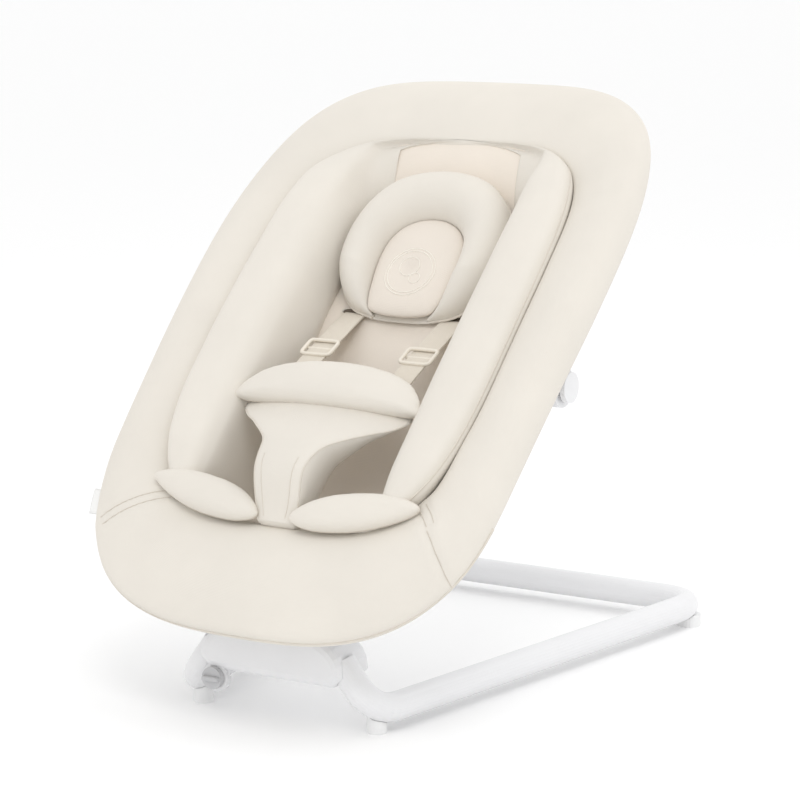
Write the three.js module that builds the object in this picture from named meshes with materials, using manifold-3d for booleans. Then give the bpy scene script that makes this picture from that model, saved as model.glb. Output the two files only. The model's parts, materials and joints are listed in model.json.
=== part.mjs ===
// Baby bouncer seat, millimetres, +Z up. The foot end of the seat faces -Y and the head end leans
// back towards +Y. The origin is on the floor, under the middle of the whole object.
import * as THREE from 'three';
import { mergeVertices } from 'three/addons/utils/BufferGeometryUtils.js';
import { RoundedBoxGeometry } from 'three/addons/geometries/RoundedBoxGeometry.js';
import Module from 'manifold-3d';

const wasm = await Module();
wasm.setup();

const RAD = Math.PI / 180;
const GAP = 0.4;

// ---------------------------------------------------------------- driving dimensions
// Seat: a rim lying on a gentle arc, given as (u across, v from foot to head, w off the rim plane).
const SEAT = {
  length: 696,
  width: 440,
  widestAt: 191,
  footSquareness: 2.9,
  headSquareness: 4.0,
  headWidening: 0.174,
  footTilt: 49.9,
  headTilt: 37.5,
  footY: -312.4,
  footZ: 100.2,
};
SEAT.arcRadius = SEAT.length / ((SEAT.footTilt - SEAT.headTilt) * RAD);

const PAD = { level: 48, dip: 34, dipAt: 215, dipSpread: 110, thickness: 12 };
const SHELL = {
  wall: 4,
  underPad: 20,
  topEdge: 0.74,
  floorEdge: 0.5,
  flangeLevel: -8,
  flangeInset: 36,
  headShare: 0.66,
};

const TUBE = {
  radius: 14,
  wall: 1.5,
  sides: 28,
  railZ: 22.5,
  rearY: 305,
  rearX: 190,
  frontX: 104,
  frontY: -235,
  frontBend: 36,
  rearBend: 48,
};
const LEG = { inward: 0.6, up: 0.8, length: 56 };
const FOOT = {
  frontRadius: 9.5,
  frontX: 99,
  frontY: -219,
  frontBlank: 22,
  rearRadius: 12.5,
  rearX: 185,
  rearY: 286,
  rearBlank: 13,
};

const HUB = {
  frontY: -254,
  depth: 54,
  bevel: 9,
  bottomZ: 45,
  topZ: 93,
  bottomHalf: 74,
  shoulderHalf: 81,
  shoulderZ: 56,
  topHalf: 57,
  wall: 3,
  trayWidth: 108,
  trayDepth: 40,
};
const AXLE = { y: -225, z: 72, radius: 5, halfLength: 49 };
const YOKE = { radius: 10, wall: 1.5, z: 110, y: -219, cornerX: 56 };
const KNOB = { x: -62, z: 38, radius: 11, length: 12 };
const PIVOT = { v: 336, w: -45, bossX: 186, bossWidth: 14, plate: 4.6, radius: 20, pin: 7 };
const STRAP = { u: 57, width: 30, thickness: 2.4, topV: 391, topW: -45.5, endV: 291, endW: 1 };
const RIM = { frameInset: 24, frameLevel: -10, frameRadius: 8 };
const HEADREST = { v: 480, radius: 95, high: -6 };

// ---------------------------------------------------------------- materials
const LOOKS = {
  paint: { color: 0xf1f1f0, roughness: 0.38, metalness: 0.1 },
  white_plastic: { color: 0xf4f4f2, roughness: 0.45, metalness: 0 },
  grey_plastic: { color: 0x9a9b9c, roughness: 0.55, metalness: 0 },
  ivory_plastic: { color: 0xefe7d6, roughness: 0.42, metalness: 0 },
  rubber: { color: 0xd9d9d6, roughness: 0.85, metalness: 0 },
  steel: { color: 0xb5b7ba, roughness: 0.3, metalness: 1 },
  cream_fabric: { color: 0xeee8dc, roughness: 0.9, metalness: 0 },
  webbing: { color: 0xe9dfce, roughness: 0.85, metalness: 0 },
  tag: { color: 0xf6f6f4, roughness: 0.8, metalness: 0 },
};

// ---------------------------------------------------------------- seat surface
function seatPoint(u, v, w) {
  const tilt = SEAT.footTilt * RAD - v / SEAT.arcRadius;
  const footTilt = SEAT.footTilt * RAD;
  const y = SEAT.footY + SEAT.arcRadius * (Math.sin(footTilt) - Math.sin(tilt));
  const z = SEAT.footZ + SEAT.arcRadius * (Math.cos(tilt) - Math.cos(footTilt));
  return new THREE.Vector3(u, y - Math.sin(tilt) * w, z + Math.cos(tilt) * w);
}

function rimHalfWidth(v) {
  const towardsFoot = v < SEAT.widestAt;
  const reach = towardsFoot ? SEAT.widestAt : SEAT.length - SEAT.widestAt;
  const power = towardsFoot ? SEAT.footSquareness : SEAT.headSquareness;
  const share = Math.min(1, Math.abs(v - SEAT.widestAt) / reach);
  const widening = 1 + (SEAT.headWidening * (v - SEAT.widestAt)) / SEAT.length;
  return (SEAT.width / 2) * Math.pow(1 - Math.pow(share, power), 1 / power) * widening;
}

// The rim as a closed loop of [u, v], starting in the middle of the foot end.
function rimLoop(count) {
  const loop = [];
  for (let i = 0; i < count; i += 1) {
    const angle = (2 * Math.PI * i) / count;
    const v = (SEAT.length / 2) * (1 - Math.cos(angle));
    loop.push([Math.sign(Math.sin(angle)) * rimHalfWidth(v), v]);
  }
  return loop;
}

// The bowl narrows towards its floor, less quickly at the head end than anywhere else.
function lengthScale(v, scale) {
  return v < SEAT.length / 2 ? scale : 1 - (1 - scale) * SHELL.headShare;
}

function scaledRim(loop, scale) {
  const middle = SEAT.length / 2;
  return loop.map(([u, v]) => [u * scale, middle + (v - middle) * lengthScale(v, scale)]);
}

function padTop(v) {
  const dip = Math.exp(-(((v - PAD.dipAt) / PAD.dipSpread) ** 2));
  return -(PAD.level + PAD.dip * dip);
}

// How far out a point lies in the bowl: 0 on the middle line, 1 on the rim.
function bowlScale(u, v) {
  const middle = SEAT.length / 2;
  let inside = 0.02;
  let outside = 1;
  for (let i = 0; i < 24; i += 1) {
    const scale = (inside + outside) / 2;
    const rimV = middle + (v - middle) / lengthScale(v, scale);
    const fits = rimV > 0 && rimV < SEAT.length && Math.abs(u / scale) < rimHalfWidth(rimV);
    if (fits) {
      outside = scale;
    } else {
      inside = scale;
    }
  }
  return outside;
}

function shellTop(scale, v) {
  const fall = THREE.MathUtils.smoothstep(SHELL.topEdge - scale, 0, SHELL.topEdge - SHELL.floorEdge);
  return SHELL.flangeLevel + fall * (padTop(v) - SHELL.underPad - SHELL.flangeLevel);
}

function bowlLevel(u, v) {
  return shellTop(bowlScale(u, v), v);
}

// ---------------------------------------------------------------- solids
function signedVolume(positions, index) {
  let volume = 0;
  const corner = (i) => new THREE.Vector3().fromArray(positions, index[i] * 3);
  for (let i = 0; i < index.length; i += 3) {
    volume += corner(i).dot(corner(i + 1).cross(corner(i + 2)));
  }
  return volume / 6;
}

// Skins a row of rings of equal count. A looped row closes on itself, any other gets two caps.
function skin(rings, looped = false) {
  const count = rings[0].length;
  const positions = rings.flat().flatMap((p) => [p.x, p.y, p.z]);
  const index = [];
  const spans = looped ? rings.length : rings.length - 1;
  for (let r = 0; r < spans; r += 1) {
    const here = r * count;
    const there = ((r + 1) % rings.length) * count;
    for (let i = 0; i < count; i += 1) {
      const next = (i + 1) % count;
      index.push(here + i, here + next, there + next);
      index.push(here + i, there + next, there + i);
    }
  }
  if (!looped) {
    addCap(rings[0], 0, positions, index, true);
    addCap(rings[rings.length - 1], (rings.length - 1) * count, positions, index, false);
  }
  if (signedVolume(positions, index) < 0) {
    index.reverse();
  }
  const geometry = new THREE.BufferGeometry();
  geometry.setAttribute('position', new THREE.Float32BufferAttribute(positions, 3));
  geometry.setIndex(index);
  return geometry;
}

function addCap(ring, offset, positions, index, flipped) {
  const centre = ring.reduce((sum, p) => sum.add(p), new THREE.Vector3()).divideScalar(ring.length);
  const hub = positions.length / 3;
  positions.push(centre.x, centre.y, centre.z);
  for (let i = 0; i < ring.length; i += 1) {
    const next = (i + 1) % ring.length;
    if (flipped) {
      index.push(hub, offset + next, offset + i);
    } else {
      index.push(hub, offset + i, offset + next);
    }
  }
}

function toManifold(geometry) {
  const bare = geometry.clone();
  bare.deleteAttribute('normal');
  bare.deleteAttribute('uv');
  const merged = mergeVertices(bare, 1e-4);
  return new wasm.Manifold(
    new wasm.Mesh({
      numProp: 3,
      vertProperties: new Float32Array(merged.attributes.position.array),
      triVerts: new Uint32Array(merged.index.array),
    }),
  );
}

function fromManifold(solid) {
  const mesh = solid.getMesh();
  const geometry = new THREE.BufferGeometry();
  geometry.setAttribute('position', new THREE.Float32BufferAttribute(mesh.vertProperties, 3));
  geometry.setIndex(Array.from(mesh.triVerts));
  return geometry;
}

function cut(body, ...tools) {
  return fromManifold(tools.reduce((left, tool) => left.subtract(toManifold(tool)), toManifold(body)));
}

function join(body, ...others) {
  return fromManifold(others.reduce((sum, other) => sum.add(toManifold(other)), toManifold(body)));
}

// Round rings about a row of points, each ring turned with the path.
function ringsAlong(points, radius, sides) {
  const last = points.length - 1;
  const tangent = (i) =>
    new THREE.Vector3().subVectors(points[Math.min(i + 1, last)], points[Math.max(i - 1, 0)]).normalize();
  let normal = new THREE.Vector3(0.31, 0.87, 0.38).cross(tangent(0)).normalize();
  return points.map((point, i) => {
    const along = tangent(i);
    normal = normal.addScaledVector(along, -normal.dot(along)).normalize();
    const across = new THREE.Vector3().crossVectors(along, normal);
    return Array.from({ length: sides }, (_, k) => {
      const angle = (2 * Math.PI * k) / sides;
      return point
        .clone()
        .addScaledVector(normal, radius * Math.cos(angle))
        .addScaledVector(across, radius * Math.sin(angle));
    });
  });
}

// A solid round bar along a row of points.
function bar(points, radius, sides = 16) {
  return skin(ringsAlong(points, radius, sides));
}

// A hollow tube along a row of points, open at both ends.
function tube(points, radius, wall, sides = 16) {
  const outside = ringsAlong(points, radius, sides);
  const inside = ringsAlong(points, radius - wall, sides).reverse();
  return skin([...outside, ...inside], true);
}

function rod(from, to, radius, sides = 20) {
  const axis = new THREE.Vector3().subVectors(to, from);
  const geometry = new THREE.CylinderGeometry(radius, radius, axis.length(), sides);
  const turn = new THREE.Quaternion().setFromUnitVectors(
    new THREE.Vector3(0, 1, 0),
    axis.clone().normalize(),
  );
  geometry.applyQuaternion(turn);
  const middle = new THREE.Vector3().addVectors(from, to).multiplyScalar(0.5);
  geometry.translate(middle.x, middle.y, middle.z);
  return geometry;
}

function block(sizeX, sizeY, sizeZ, x, y, z, radius = 0) {
  const geometry = radius
    ? new RoundedBoxGeometry(sizeX, sizeY, sizeZ, 2, radius)
    : new THREE.BoxGeometry(sizeX, sizeY, sizeZ);
  geometry.translate(x, y, z);
  return geometry;
}

// Points along straight runs whose corners are rounded off over the given lengths.
function bentPath(corners, bends, pointsPerBend = 8) {
  const points = [corners[0]];
  for (let i = 1; i < corners.length - 1; i += 1) {
    const bend = bends[i - 1];
    const start = corners[i].clone().lerp(corners[i - 1], bend / corners[i].distanceTo(corners[i - 1]));
    const end = corners[i].clone().lerp(corners[i + 1], bend / corners[i].distanceTo(corners[i + 1]));
    points.push(...new THREE.QuadraticBezierCurve3(start, corners[i], end).getPoints(pointsPerBend));
  }
  points.push(corners[corners.length - 1]);
  return points;
}

function mirrored(geometry) {
  const copy = mergeVertices(geometry.clone().deleteAttribute('normal').deleteAttribute('uv'), 1e-4);
  copy.scale(-1, 1, 1);
  copy.setIndex(Array.from(copy.index.array).reverse());
  return copy;
}

// ---------------------------------------------------------------- soft solids on the seat
// A cushion over a [u, v] outline, between two levels, with softened edges and a crowned face.
function cushion(outline, low, high, crown = 0) {
  const level = (height, u, v) => (typeof height === 'function' ? height(u, v) : height);
  const mean = (axis) => outline.reduce((sum, point) => sum + point[axis], 0) / outline.length;
  const centre = [mean(0), mean(1)];
  const layer = (scale, share, extra) =>
    outline.map(([u, v]) => {
      const su = centre[0] + (u - centre[0]) * scale;
      const sv = centre[1] + (v - centre[1]) * scale;
      const bottom = level(low, su, sv);
      return seatPoint(su, sv, bottom + (level(high, su, sv) - bottom) * share + extra);
    });
  const sides = [layer(0.88, 0, 0), layer(1, 0.3, 0), layer(1, 0.65, 0)];
  const face = [layer(0.84, 1, 0), layer(0.5, 1, crown)];
  return skin([...sides, ...face]);
}

function oval(centreU, centreV, halfU, halfV, count, turn = 0) {
  const outline = [];
  for (let i = 0; i < count; i += 1) {
    const angle = (2 * Math.PI * i) / count;
    const u = halfU * Math.cos(angle);
    const v = halfV * Math.sin(angle);
    outline.push([
      centreU + u * Math.cos(turn) - v * Math.sin(turn),
      centreV + u * Math.sin(turn) + v * Math.cos(turn),
    ]);
  }
  return outline;
}

// A cushion run along the seat: section(v) gives the outline as [u, w] pairs.
function runner(stations, section) {
  return skin(stations.map((v) => section(v).map(([u, w]) => seatPoint(u, v, w))));
}

function stations(from, to, count) {
  return Array.from({ length: count }, (_, i) => from + ((to - from) * i) / (count - 1));
}

function seatBlock(u, v, w, sizeU, sizeV, sizeW) {
  const corners = [[-0.5, -0.5], [0.5, -0.5], [0.5, 0.5], [-0.5, 0.5]];
  const face = (level) => corners.map(([a, b]) => seatPoint(u + a * sizeU, v + b * sizeV, level));
  return skin([face(w - sizeW / 2), face(w + sizeW / 2)]);
}

// The rim loop moved inwards by a distance, point by point.
function insetRim(loop, inset) {
  const count = loop.length;
  return loop.map(([u, v], i) => {
    const [beforeU, beforeV] = loop[(i + count - 1) % count];
    const [afterU, afterV] = loop[(i + 1) % count];
    const span = Math.hypot(afterU - beforeU, afterV - beforeV);
    return [u - ((afterV - beforeV) / span) * inset, v + ((afterU - beforeU) / span) * inset];
  });
}

// A ring that follows the rim: the section lists [inset from the rim, level] pairs.
function rimRing(section, count) {
  const loop = rimLoop(count);
  const edges = section.map(([inset, level]) =>
    insetRim(loop, inset).map(([u, v]) => seatPoint(u, v, level)));
  return skin(edges, true);
}

// ---------------------------------------------------------------- scene bookkeeping
const seat = new THREE.Group();
seat.name = 'bouncer_seat';

function place(name, geometry, look) {
  geometry.computeVertexNormals();
  const mesh = new THREE.Mesh(geometry, new THREE.MeshStandardMaterial(LOOKS[look]));
  mesh.name = name;
  seat.add(mesh);
  return mesh;
}

function placePair(name, rightGeometry, look) {
  place(`${name}_right`, rightGeometry, look);
  place(`${name}_left`, mirrored(rightGeometry), look);
}

// ---------------------------------------------------------------- base
function basePath() {
  const { railZ, rearX, rearY, frontX, frontY, frontBend, rearBend } = TUBE;
  const legEnd = (side) =>
    new THREE.Vector3(side * (frontX - LEG.inward * LEG.length), frontY, railZ + LEG.up * LEG.length);
  const points = [
    legEnd(1),
    new THREE.Vector3(frontX, frontY, railZ),
    new THREE.Vector3(rearX, rearY, railZ),
    new THREE.Vector3(-rearX, rearY, railZ),
    new THREE.Vector3(-frontX, frontY, railZ),
    legEnd(-1),
  ];
  return bentPath(points, [frontBend, rearBend, rearBend, frontBend]);
}

function addBase() {
  place('base_tube', tube(basePath(), TUBE.radius, TUBE.wall, TUBE.sides), 'paint');
  const clearance = bar(basePath(), TUBE.radius + GAP, TUBE.sides);
  const blank = (x, y, radius, height) =>
    rod(new THREE.Vector3(x, y, 0), new THREE.Vector3(x, y, height), radius, 24);
  const front = blank(FOOT.frontX, FOOT.frontY, FOOT.frontRadius, FOOT.frontBlank);
  const rear = blank(FOOT.rearX, FOOT.rearY, FOOT.rearRadius, FOOT.rearBlank);
  placePair('foot_front', cut(front, clearance), 'rubber');
  placePair('foot_rear', cut(rear, clearance), 'rubber');
  addHub(clearance);
}

// The hub housing's front view: a low bridge, widest where its lower corners take in the two legs.
function hubOutline(inset) {
  const shape = new THREE.Shape();
  const { bottomZ, topZ, bottomHalf, shoulderHalf, shoulderZ, topHalf } = HUB;
  const low = bottomZ + inset;
  const shoulder = shoulderZ + inset * 0.4;
  const high = topZ - inset;
  const roundingZ = (shoulderZ + topZ) / 2;
  shape.moveTo(inset - bottomHalf, low);
  shape.lineTo(bottomHalf - inset, low);
  shape.lineTo(shoulderHalf - inset, shoulder);
  shape.quadraticCurveTo(shoulderHalf - inset, roundingZ, topHalf - inset, high);
  shape.lineTo(inset - topHalf, high);
  shape.quadraticCurveTo(inset - shoulderHalf, roundingZ, inset - shoulderHalf, shoulder);
  return shape;
}

function hubBlank(inset) {
  const bevel = HUB.bevel;
  const geometry = new THREE.ExtrudeGeometry(hubOutline(bevel + inset), {
    depth: HUB.depth - 2 * bevel - 2 * inset,
    bevelEnabled: true,
    bevelThickness: bevel,
    bevelSize: bevel,
    bevelSegments: 3,
    curveSegments: 5,
  });
  geometry.rotateX(Math.PI / 2);
  geometry.translate(0, HUB.frontY + HUB.depth - bevel - inset, 0);
  return geometry;
}

function addHub(tubeClearance) {
  const middleY = HUB.frontY + HUB.depth / 2;
  const lobe = rod(
    new THREE.Vector3(KNOB.x, HUB.frontY + 2, KNOB.z),
    new THREE.Vector3(KNOB.x, HUB.frontY + 9, KNOB.z),
    KNOB.radius + 3,
    24,
  );
  const window = block(44, 44, 20, 0, AXLE.y, HUB.topZ);
  const floorOpening = block(HUB.trayWidth, HUB.trayDepth, 16, 0, middleY, HUB.bottomZ + 2);
  const spindleHole = rod(
    new THREE.Vector3(KNOB.x, HUB.frontY - 5, KNOB.z),
    new THREE.Vector3(KNOB.x, HUB.frontY + 20, KNOB.z),
    4 + GAP,
  );
  const hollow = cut(join(hubBlank(0), lobe), hubBlank(HUB.wall), window, floorOpening, spindleHole);
  place('hub_cover', cut(hollow, tubeClearance), 'white_plastic');

  const trayWidth = HUB.trayWidth - 2 * GAP;
  const tray = block(trayWidth, HUB.trayDepth - 2 * GAP, HUB.wall, 0, middleY, HUB.bottomZ + 2);
  place('hub_tray', cut(tray, tubeClearance), 'white_plastic');
  for (const [i, x] of [-40, 40].entries()) {
    const head = rod(
      new THREE.Vector3(x, middleY, HUB.bottomZ - 1.4),
      new THREE.Vector3(x, middleY, HUB.bottomZ + 0.5 - GAP),
      4,
      16,
    );
    place(`tray_screw_${i + 1}`, head, 'steel');
  }
  addChassis();
  addLockKnob();
}

function addChassis() {
  const plate = block(96, 36, 3, 0, AXLE.y, HUB.bottomZ + 7);
  const earHeight = 34;
  const ear = (x) => block(4, 24, earHeight, x, AXLE.y, HUB.bottomZ + 8 + earHeight / 2);
  const bore = rod(
    new THREE.Vector3(-60, AXLE.y, AXLE.z),
    new THREE.Vector3(60, AXLE.y, AXLE.z),
    AXLE.radius + 0.3,
  );
  place('hub_chassis', cut(join(plate, ear(-44), ear(44)), bore), 'steel');
  const axle = rod(
    new THREE.Vector3(-AXLE.halfLength, AXLE.y, AXLE.z),
    new THREE.Vector3(AXLE.halfLength, AXLE.y, AXLE.z),
    AXLE.radius,
  );
  place('bounce_axle', axle, 'steel');
  placePair('bounce_spring', torsionSpring(), 'steel');
}

// A close-wound torsion spring on the axle, between the rocker's lug and the chassis ear.
function torsionSpring() {
  const turns = 4;
  const coilRadius = 8.2;
  const from = 19.5;
  const to = 38.5;
  const steps = turns * 12;
  const points = Array.from({ length: steps + 1 }, (_, i) => {
    const angle = (i / steps) * turns * 2 * Math.PI;
    return new THREE.Vector3(
      from + ((to - from) * i) / steps,
      AXLE.y + coilRadius * Math.cos(angle),
      AXLE.z + coilRadius * Math.sin(angle),
    );
  });
  return bar(points, 1.5, 6);
}

function addLockKnob() {
  const face = HUB.frontY + 2 - GAP;
  const at = (y) => new THREE.Vector3(KNOB.x, y, KNOB.z);
  const disc = rod(at(face - 6), at(face), KNOB.radius, 28);
  const spindle = rod(at(face - 1), at(face + 12), 4, 16);
  const grip = block(2 * KNOB.radius - 3, KNOB.length - 5, 5, KNOB.x, face - 7, KNOB.z, 2);
  place('lock_knob', join(disc, spindle, grip), 'grey_plastic');
}

// ---------------------------------------------------------------- rocker and yoke
function pivotCentre(x) {
  const centre = seatPoint(0, PIVOT.v, PIVOT.w);
  return new THREE.Vector3(x, centre.y, centre.z);
}

function yokePath() {
  const bossMiddle = PIVOT.bossX + PIVOT.bossWidth / 2;
  const top = pivotCentre(bossMiddle);
  const knee = new THREE.Vector3(150, -157, 172);
  const armEnd = top.clone().lerp(knee, 10 / top.distanceTo(knee));
  const side = (points, sign) => points.map((p) => new THREE.Vector3(sign * p.x, p.y, p.z));
  const half = [armEnd, knee, new THREE.Vector3(YOKE.cornerX, YOKE.y, YOKE.z)];
  const points = [...side(half, 1), ...side(half, -1).reverse()];
  return bentPath(points, [70, 26, 26, 70]);
}

function addRocker() {
  place('yoke_tube', tube(yokePath(), YOKE.radius, YOKE.wall), 'paint');
  const clearance = bar(yokePath(), YOKE.radius + GAP);
  const head = block(76, 34, 26, 0, YOKE.y - 1, YOKE.z, 6);
  const neck = block(32, 14, 40, 0, AXLE.y, (AXLE.z + YOKE.z - 8) / 2, 2);
  const lug = rod(new THREE.Vector3(-17, AXLE.y, AXLE.z), new THREE.Vector3(17, AXLE.y, AXLE.z), 11, 28);
  const bore = rod(
    new THREE.Vector3(-30, AXLE.y, AXLE.z),
    new THREE.Vector3(30, AXLE.y, AXLE.z),
    AXLE.radius + 0.3,
  );
  place('rocker_block', cut(join(head, neck, lug), clearance, bore), 'white_plastic');

  const { bossX, bossWidth, radius, pin } = PIVOT;
  const boss = rod(pivotCentre(bossX), pivotCentre(bossX + bossWidth), radius, 32);
  const pinBore = rod(pivotCentre(bossX - 5), pivotCentre(bossX + bossWidth + 5), pin + 0.3);
  placePair('recline_boss', cut(boss, clearance, pinBore), 'white_plastic');
  addPins();
}

function addPins() {
  const { bossX, bossWidth, plate, pin } = PIVOT;
  const outer = bossX + bossWidth + GAP + plate;
  const sleeve = rod(pivotCentre(bossX + 8), pivotCentre(outer), pin, 24);
  const bore = rod(pivotCentre(bossX), pivotCentre(outer + 5), 4);
  placePair('recline_pin', cut(sleeve, bore), 'steel');

  const travel = 3;
  const cap = rod(pivotCentre(outer + travel + GAP), pivotCentre(outer + travel + 5.4), 15, 32);
  const stem = rod(pivotCentre(outer - 5), pivotCentre(outer + travel + 2), 3.5, 16);
  placePair('recline_button', join(cap, stem), 'white_plastic');
}

// ---------------------------------------------------------------- seat structure
function addSeatFrame() {
  const sides = 10;
  const section = Array.from({ length: sides }, (_, i) => {
    const angle = (2 * Math.PI * i) / sides;
    const { frameInset, frameLevel, frameRadius } = RIM;
    return [frameInset + frameRadius * Math.cos(angle), frameLevel + frameRadius * Math.sin(angle)];
  });
  place('ring_frame', rimRing(section, 60), 'white_plastic');
  addSideBrackets();
  addShell();
}

// Each bracket saddles the ring frame and carries a round eye for the recline pin.
function addSideBrackets() {
  const { v, w, bossX, bossWidth, plate, radius, pin } = PIVOT;
  const inner = bossX + bossWidth + GAP;
  const eye = rod(pivotCentre(inner), pivotCentre(inner + plate), radius, 32);
  const neck = seatBlock(inner + plate / 2, v, w + 16, plate, 30, 28);
  const ringU = rimHalfWidth(v) - RIM.frameInset;
  const saddleLow = w + radius + 1;
  const saddleHigh = RIM.frameLevel + 1;
  const saddle = seatBlock(ringU, v, (saddleLow + saddleHigh) / 2, 15, 34, saddleHigh - saddleLow);
  const groove = runner(stations(v - 30, v + 30, 7), (at) => {
    const centreU = rimHalfWidth(at) - RIM.frameInset;
    return Array.from({ length: 16 }, (_, i) => {
      const angle = (2 * Math.PI * i) / 16;
      const reach = RIM.frameRadius + 0.8;
      return [centreU + reach * Math.cos(angle), RIM.frameLevel + reach * Math.sin(angle)];
    });
  });
  const bore = rod(pivotCentre(inner - 5), pivotCentre(inner + plate + 5), pin + 0.3);
  placePair('seat_bracket', cut(join(eye, neck, saddle), groove, bore), 'white_plastic');
}

function addShell() {
  const loop = rimLoop(44);
  const scales = [0.17, 0.34, 0.5, 0.54, 0.59, 0.64, 0.69, 0.74];
  const flange = (drop) =>
    insetRim(loop, SHELL.flangeInset).map(([u, v]) => seatPoint(u, v, SHELL.flangeLevel - drop));
  const ring = (scale, drop) =>
    scaledRim(loop, scale).map(([u, v]) => seatPoint(u, v, shellTop(scale, v) - drop));
  const above = scales.map((scale) => ring(scale, 0));
  const below = scales.map((scale) => ring(scale, SHELL.wall)).reverse();
  const bowl = skin([...above, flange(0), flange(SHELL.wall), ...below]);
  const slot = (side) => seatBlock(side * STRAP.u, STRAP.topV + 18, padTop(STRAP.topV) - 20, 36, 8, 40);
  place('seat_shell', cut(bowl, slot(-1), slot(1)), 'white_plastic');
}

// ---------------------------------------------------------------- soft parts
function addRimCover() {
  const outside = [[13, -20], [4, -15], [0, -3], [3, 10], [13, 20], [28, 25]];
  const inside = [[43, 21], [53, 8], [52, -0.5], [36, -1], [14, -1]];
  const section = [...outside, ...inside];
  place('rim_cover', rimRing(section, 60), 'cream_fabric');
  const half = [[48, 59], [92, 65], [120, 84], [136, 112], [70, 114]];
  const panel = [[0, 58], ...half, [0, 115], ...half.map(([u, v]) => [-u, v]).reverse()];
  place('foot_panel', cushion(panel, -5, 5, 2), 'cream_fabric');
}

function addInlay() {
  const padHalfWidth = (v) => 92 * (1 - (Math.abs(v - 385) / 235) ** 6);
  const lift = 5;
  const pad = runner(stations(180, 594, 20), (v) => {
    const across = [-1, -0.5, 0, 0.5, 1].map((share) => share * padHalfWidth(v));
    const under = across.map((u) => [u, bowlLevel(u, v) + lift]);
    const over = under.map(([u, w]) => [u * 0.95, w + PAD.thickness]).reverse();
    return [...under, ...over];
  });
  place('inlay_pad', pad, 'cream_fabric');

  const inner = 97;
  const crown = [[1, 16], [0.8, 27], [0.4, 25], [0.14, 10], [0.02, -16]];
  const bolster = runner(stations(170, 562, 18), (v) => {
    const outer = rimHalfWidth(v) - 56;
    const at = (share) => inner + share * (outer - inner);
    const under = [0, 0.25, 0.5, 0.75, 1].map((share) => [at(share), bowlLevel(at(share), v) + lift]);
    const over = crown.map(([share, level]) => [at(share), level]);
    return [...under, ...over];
  });
  placePair('side_bolster', bolster, 'cream_fabric');
}

function addHeadrest() {
  const { v, radius, high } = HEADREST;
  const aboveInlay = (u, at) => bowlLevel(u, at) + 21;
  place('headrest_pillow', cushion(oval(0, v, radius, radius, 32), aboveInlay, high), 'cream_fabric');
}

function addHarness() {
  const { u, width, thickness, topV, topW, endV, endW } = STRAP;
  const top = seatPoint(u, topV, topW);
  const end = seatPoint(u, endV, endW);
  const lean = Math.atan2(top.z - end.z, top.y - end.y);
  const along = (geometry, share) => {
    const spot = end.clone().lerp(top, share);
    geometry.rotateX(lean);
    geometry.translate(spot.x, spot.y, spot.z);
    return geometry;
  };
  const length = top.distanceTo(end);
  placePair('shoulder_strap', along(new THREE.BoxGeometry(width, length, thickness), 0.5), 'webbing');

  const frame = new RoundedBoxGeometry(38, 20, 7.4, 2, 2.4);
  const passage = new THREE.BoxGeometry(width + 1, 30, thickness + 0.9);
  const opening = new THREE.BoxGeometry(width - 4, 9, 8).translate(0, 0, 4);
  placePair('strap_slider', along(cut(frame, passage, opening), 0.42), 'ivory_plastic');

  const buckle = seatBlock(0, 280, -6, 48, 34, 14);
  const pocket = seatBlock(0, 266, -6, 22, 18, 8);
  place('harness_buckle', cut(buckle, pocket), 'ivory_plastic');
  place('buckle_button', seatBlock(0, 266.5, -6, 22 - 2 * GAP, 10, 8 - 2 * GAP), 'grey_plastic');
  placePair('buckle_tongue', seatBlock(48, 282, -7, 46, 14, 4), 'ivory_plastic');
}

function addHarnessPads() {
  const belly = [];
  for (let i = 0; i <= 10; i += 1) {
    const share = -1 + i / 5;
    belly.push([100 * share, 298 - 30 * share * share]);
  }
  for (let i = 10; i >= 0; i -= 1) {
    const share = -1 + i / 5;
    belly.push([96 * share, 246 - 4 * share * share]);
  }
  place('belly_pad', cushion(belly, 5, 28, 4), 'cream_fabric');

  const half = [[19, 122], [22, 146], [30, 172], [44, 192], [66, 204], [86, 212], [95, 230], [92, 254]];
  const crotch = [...half, ...half.map(([u, v]) => [-u, v]).reverse()];
  place('crotch_pad', cushion(crotch, -9, 3, 0), 'cream_fabric');
}

function addThighCushions() {
  const lean = 10 * RAD;
  const petal = cushion(oval(90, 130, 60, 22, 20, lean), 8, 26, 3);
  placePair('thigh_cushion', petal, 'cream_fabric');
}

function addTag() {
  const v = 122;
  const u = -rimHalfWidth(v) - 9;
  place('rim_tag', seatBlock(u, v, -4, 12, 28, 1), 'tag');
}

addBase();
addRocker();
addSeatFrame();
addRimCover();
addInlay();
addHeadrest();
addHarness();
addHarnessPads();
addThighCushions();
addTag();

export default seat;
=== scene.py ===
"""Looks of the baby bouncer seat: soft goods, materials, light and camera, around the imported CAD."""

import json
import math

import bmesh
import bpy
import numpy as np
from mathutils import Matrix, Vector
from mathutils.bvhtree import BVHTree


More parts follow.
